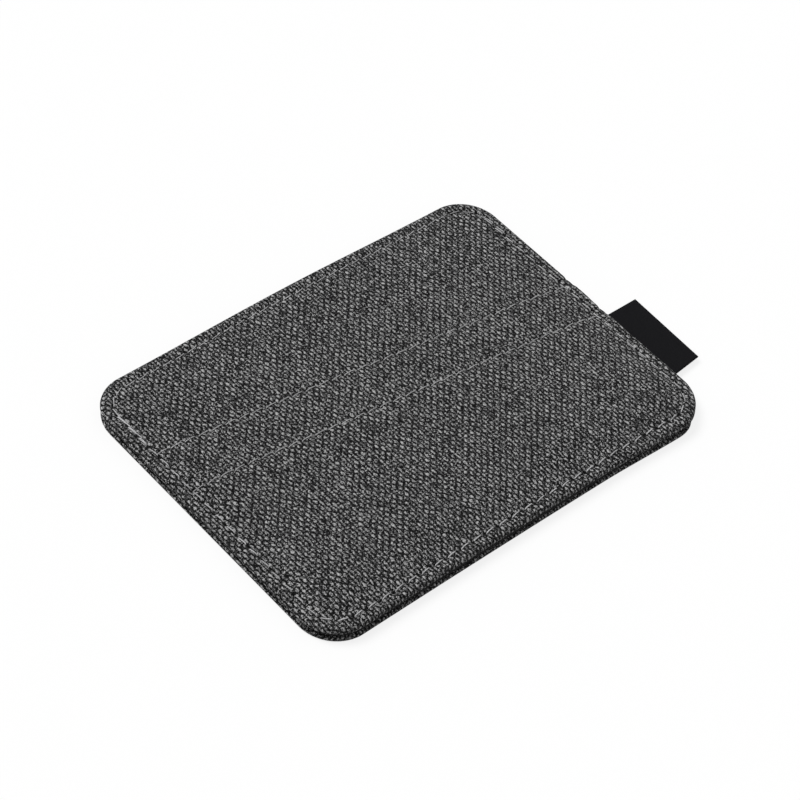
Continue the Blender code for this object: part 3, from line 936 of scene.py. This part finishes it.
def twisted_tubes(points, thickness, upright):
    """Vertices and quads of three yarns wound round a line."""
    steps = np.linalg.norm(np.diff(points, axis=0), axis=1)
    reach = np.concatenate(([0.0], np.cumsum(steps)))
    along_it = np.gradient(points, axis=0)
    along_it /= np.linalg.norm(along_it, axis=1, keepdims=True)
    side = np.cross(along_it, upright)
    side /= np.linalg.norm(side, axis=1, keepdims=True)
    over = np.cross(side, along_it)
    ring = np.arange(PLY_SIDES)
    angles = 2 * math.pi * ring / PLY_SIDES
    orbit = thickness * ORBIT
    radius = thickness * PLY_RADIUS
    rungs = np.arange(len(points) - 1)[:, None] * PLY_SIDES
    vertices, quads = [], []
    for ply in range(PLIES):
        turn = 2 * math.pi * (reach / LAY + ply / PLIES)
        aside = side * (orbit * np.cos(turn))[:, None]
        raised = over * (FLATTEN * orbit * np.sin(turn))[:, None]
        centre = points + aside + raised
        block = (centre[:, None] + side[:, None] * (radius * np.cos(angles))[:, None]
                 + over[:, None] * (FLATTEN * radius * np.sin(angles))[:, None])
        vertices.append(block.reshape(-1, 3))
        start = ply * len(points) * PLY_SIDES
        a = start + rungs + ring
        b = start + rungs + (ring + 1) % PLY_SIDES
        quads.append(np.stack((a, b, b + PLY_SIDES, a + PLY_SIDES), axis=-1).reshape(-1, 4))
    return np.concatenate(vertices), np.concatenate(quads)


print("a yarn of the seam thread is", round(2 * SEAM_THREAD * PLY_RADIUS / MM, 2), "mm thick")

# %% Finish of the thread
FUZZ_PER_M = 2500.0  # fibres about 0.4 mm apart
UNEVEN_PER_M = 180.0  # paler and darker lengths of about 5 mm


def sewing_thread():
    """Twisted spun polyester: light grey, a little silky, with a fine fuzz."""
    material, tree, shader = new_material("grey_polyester_sewing_thread", Roughness=0.55, Sheen_Weight=0.1)
    place = add(tree, "TexCoord")["Object"]
    fuzz = add(tree, "TexNoise", {"Vector": place, "Scale": FUZZ_PER_M, "Detail": 3.0})["Fac"]
    uneven = add(tree, "TexNoise", {"Vector": place, "Scale": UNEVEN_PER_M, "Detail": 2.0})["Fac"]
    both = add(tree, "Math", (fuzz, uneven), operation="ADD")[0]
    both = add(tree, "MapRange", (both, 0.6, 1.4))[0]
    colour = add(tree, "Mix", {0: both, 6: linear("#808081"), 7: linear("#c9c9ca")}, data_type="RGBA")[2]
    bump = add(tree, "Bump", {"Height": fuzz, "Distance": 0.03 * MM})[0]
    plug(shader, {"Base Color": colour, "Normal": bump})
    return material


THREAD_FINISH = sewing_thread()
print("the thread's material has", len(THREAD_FINISH.node_tree.nodes), "nodes")

# %% Sew the rows
UPRIGHT = np.array((0.0, 0.0, 1.0))
# each end of the seam is sewn back over itself in two lanes: place, number of stitches,
# how far each lane lies from the seam, and how far the second lane lags behind
TACKS = (
    (ROW_LEFT, 3, 0.15 * MM, SEAM_PITCH / 2),
    (ROW_RIGHT, 2, 0.22 * MM, 0.0),
)


def thread_piece(name, lines, thickness, upright, node):
    """One piece of thread from several lines of stitches."""
    vertices, quads, start = [], [], 0
    for line in lines:
        points, faces = twisted_tubes(line, thickness, upright)
        vertices.append(points)
        quads.append(faces + start)
        start += len(points)
    made = new_piece(name, np.concatenate(vertices), np.concatenate(quads), THREAD_FINISH)
    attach(made, RIDES_ON)
    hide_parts(node)
    print(name, start, "vertices")


seam_lines = [stitch_line(seam_path, SEAM_PITCH, SEAM_THREAD)]
for tack_x, stitches, lane, lag in TACKS:
    for sideways, behind in ((-lane, 0.0), (lane, lag)):
        tack_end = SEAM_TOP - stitches * SEAM_PITCH + behind
        tack = [(tack_x, SEAM_TOP - behind), (tack_x, tack_end)]
        seam_lines.append(stitch_line(tack, SEAM_PITCH, SEAM_THREAD, sideways=sideways))
thread_piece("seam_stitches", seam_lines, SEAM_THREAD, UPRIGHT, "seam_needle_thread")
for name, path, node in (("mouth_stitches", mouth_path, "front_mouth_thread"),
                         ("upper_hem_stitches", hem_path(*UPPER), "upper_hem_thread"),
                         ("lower_hem_stitches", hem_path(*LOWER), "lower_hem_thread")):
    line = stitch_line(path, HEM_PITCH, HEM_THREAD, shown=HEM_SHOWN)
    thread_piece(name, [line], HEM_THREAD, UPRIGHT, node)
for name, path, pitch, thickness, node in (
        ("back_seam_stitches", seam_path, SEAM_PITCH, SEAM_THREAD, "seam_bobbin_thread"),
        ("back_mouth_stitches", mouth_path, HEM_PITCH, HEM_THREAD, "back_mouth_thread")):
    line = stitch_line(path, pitch, thickness, front=False)
    thread_piece(name, [line], thickness, -UPRIGHT, node)

# %% [markdown]
# The label is a black tape woven with fine threads, folded in half and caught by its
# two ends in the side seam, a little askew. It is one sheet that runs out, round the fold
# and back, because a flat tab would show no loop at its end.

# %% Finish of the label
LABEL_THREADS = (0.28, 0.44)  # mm from thread to thread, across and along the tape


def woven_label():
    """Damask tape of fine polyester: black, matt, with a ribbed weave that barely shows."""
    material, tree, shader = new_material("black_damask_woven_tape", Roughness=0.8, Specular_IOR_Level=0.07)
    flat = add(tree, "UVMap", uv_map="flat_mm")[0]
    per_mm = (2 * math.pi / LABEL_THREADS[0], 2 * math.pi / LABEL_THREADS[1], 0.0)
    turns = add(tree, "VectorMath", (flat, per_mm), operation="MULTIPLY")[0]
    waves = add(tree, "SeparateXYZ", (add(tree, "VectorMath", (turns,), operation="SINE")[0],))
    relief = add(tree, "Math", (waves[0], waves[1]), operation="MULTIPLY")[0]
    # painted light and shade: the colour is lighter on the crests of the relief and darker between them
    share = add(tree, "MapRange", (relief, -1.0, 1.0))[0]
    colour = add(tree, "Mix", {0: share, 6: linear("#060607"), 7: linear("#17171a")}, data_type="RGBA")[2]
    bump = add(tree, "Bump", {"Height": relief, "Distance": 0.03 * MM})[0]
    plug(shader, {"Base Color": colour, "Normal": bump})
    return material


LABEL_FINISH = woven_label()
print("label threads every", LABEL_THREADS, "mm")

# %% Shape of the label
root_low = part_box("label_root")[0]
tab_low, tab_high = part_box("label_tab")
TAPE = 0.10 * MM
LABEL_LEVEL = 1.10 * MM
HELD_LEVEL = 1.45 * MM  # inside the seam it lies on the back wall's margin
LEVEL_CHANGE = (HALF_X - 1.3 * MM, HALF_X - 0.1 * MM)
LABEL_LOOP = 0.11 * MM  # radius of the fold at the outer end
LABEL_COLUMNS = 40
LABEL_OUT = 0.44 * MM  # as measured on the photograph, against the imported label
LABEL_SPREAD = 0.25 * MM
LABEL_LEAN = 0.033  # the fold leans, because the held ends are not quite level
LABEL_TAPER = 0.9 * MM
LABEL_SKEW = 0.38 * MM

end_x = tab_high.x + LABEL_OUT - LABEL_LOOP
half_loop = math.pi * LABEL_LOOP
run = end_x - root_low.x
there = np.linspace(0.0, run, 30)
around = run + half_loop * np.linspace(0, 1, 9)
steps = np.concatenate((there, around[1:], run + half_loop + there[1:]))
side = np.linspace(tab_low.y - LABEL_SPREAD, tab_high.y + LABEL_SPREAD, LABEL_COLUMNS)
s, y = np.meshgrid(steps, side)
turn = np.clip((s - run) / LABEL_LOOP, 0.0, math.pi)
x = root_low.x + np.minimum(s, run) + LABEL_LOOP * np.sin(turn) - np.maximum(s - run - half_loop, 0.0)
level = HELD_LEVEL + (LABEL_LEVEL - HELD_LEVEL) * smooth(x, *LEVEL_CHANGE)
z = level - LABEL_LOOP * np.cos(turn)
out_share = np.clip((x - HALF_X) / (end_x - HALF_X), 0.0, 1.0)
from_middle = y - (tab_low.y + tab_high.y) / 2
side_share = from_middle / (side[-1] - side[0])
x = x + out_share * from_middle * LABEL_LEAN
y = y + out_share * (LABEL_SKEW - side_share * LABEL_TAPER)
points = np.stack((x, y, z), axis=-1).reshape(-1, 3)
flat = np.stack((s, y), axis=-1).reshape(-1, 2)
label = cloth_piece("folded_label", points, grid_quads(x.shape), flat, LABEL_FINISH, TAPE, offset=0.0)
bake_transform(label)
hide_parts("label_root", "label_tab")

# %% [markdown]

# %% [markdown]
# The studio is a sheet of paper under a wide soft lamp, with light from all round, which
# together come to about 1, so that a colour renders as written. White paper would throw light
# up under the rim, where the photograph is dark. So the paper is grey for the light, and
# Light Path lifts it towards white only for the eye.

# %% White for the eye
FLOOR_LIFT = 0.68  # a weak shadow is left
FLOOR_GLOW = 1.20  # makes up for the light that the grey paper takes away
WHITE = (1.0, 1.0, 1.0, 1.0)


def seen_directly(tree):
    """1 for what the camera sees, in a mirror or through glass too, and 0 for other light."""
    paths = add(tree, "LightPath")
    shown = add(tree, "Math", (paths["Is Camera Ray"], paths["Is Glossy Ray"]), operation="MAXIMUM")[0]
    return add(tree, "Math", (shown, paths["Is Transmission Ray"]), operation="MAXIMUM")[0]


def studio_paper():
    """Uncoated paper: quite matt, with a grain so faint that it only keeps the white alive."""
    material, tree, shader = new_material("matt_white_paper", Roughness=0.95)
    grain = add(tree, "TexNoise", {"Vector": add(tree, "TexCoord")["Object"], "Scale": 40.0})["Fac"]
    shade = add(tree, "MapRange", {0: grain, 3: 0.98, 4: 1.0})[0]
    colour = add(tree, "VectorMath", {0: linear("#c4c4c4")[:3], 3: shade}, operation="SCALE")[0]
    plug(shader, {"Base Color": colour})
    glow = add(tree, "Emission", {"Color": WHITE, "Strength": FLOOR_GLOW})[0]
    share = add(tree, "MapRange", {0: seen_directly(tree), 3: 0.0, 4: FLOOR_LIFT})[0]
    both = add(tree, "MixShader", (share, shader.outputs[0], glow))[0]
    plug(tree.nodes["Material Output"], {"Surface": both})
    return material


print("the camera sees", round(100 * FLOOR_LIFT), "% of the paper as a glow of", FLOOR_GLOW)

# %% Floor
FLOOR_HALF = 1.5  # metres
FLOOR_BELOW = 0.05 * MM
floor_lines = np.linspace(-FLOOR_HALF, FLOOR_HALF, 9)
x, y = np.meshgrid(floor_lines, floor_lines)
points = np.stack((x, y, np.zeros_like(x)), axis=-1).reshape(-1, 3)
floor = new_piece("studio_floor", points, grid_quads(x.shape), studio_paper())
floor.location.z = -FLOOR_BELOW
print("the floor measures", 2 * FLOOR_HALF, "m")

# %% Lamp and air
AIR_LEVEL = 0.42
lamp = bpy.data.lights.new("soft_lamp", "SUN")
lamp.energy = 2.3
lamp.angle = math.radians(30)
lamp_object = bpy.data.objects.new("soft_lamp", lamp)
lamp_object.rotation_euler = (math.radians(-32), math.radians(-18), 0.0)
bpy.context.scene.collection.objects.link(lamp_object)

world = bpy.data.worlds.new("studio_air")
bpy.context.scene.world = world
world.use_nodes = True
air = world.node_tree
level = add(air, "MapRange", {0: seen_directly(air), 3: AIR_LEVEL, 4: 1.0})[0]
plug(air.nodes["Background"], {"Color": WHITE, "Strength": level})
bpy.context.scene.view_settings.view_transform = "Standard"
print("lamp", round(lamp.energy, 2), "and air", AIR_LEVEL)
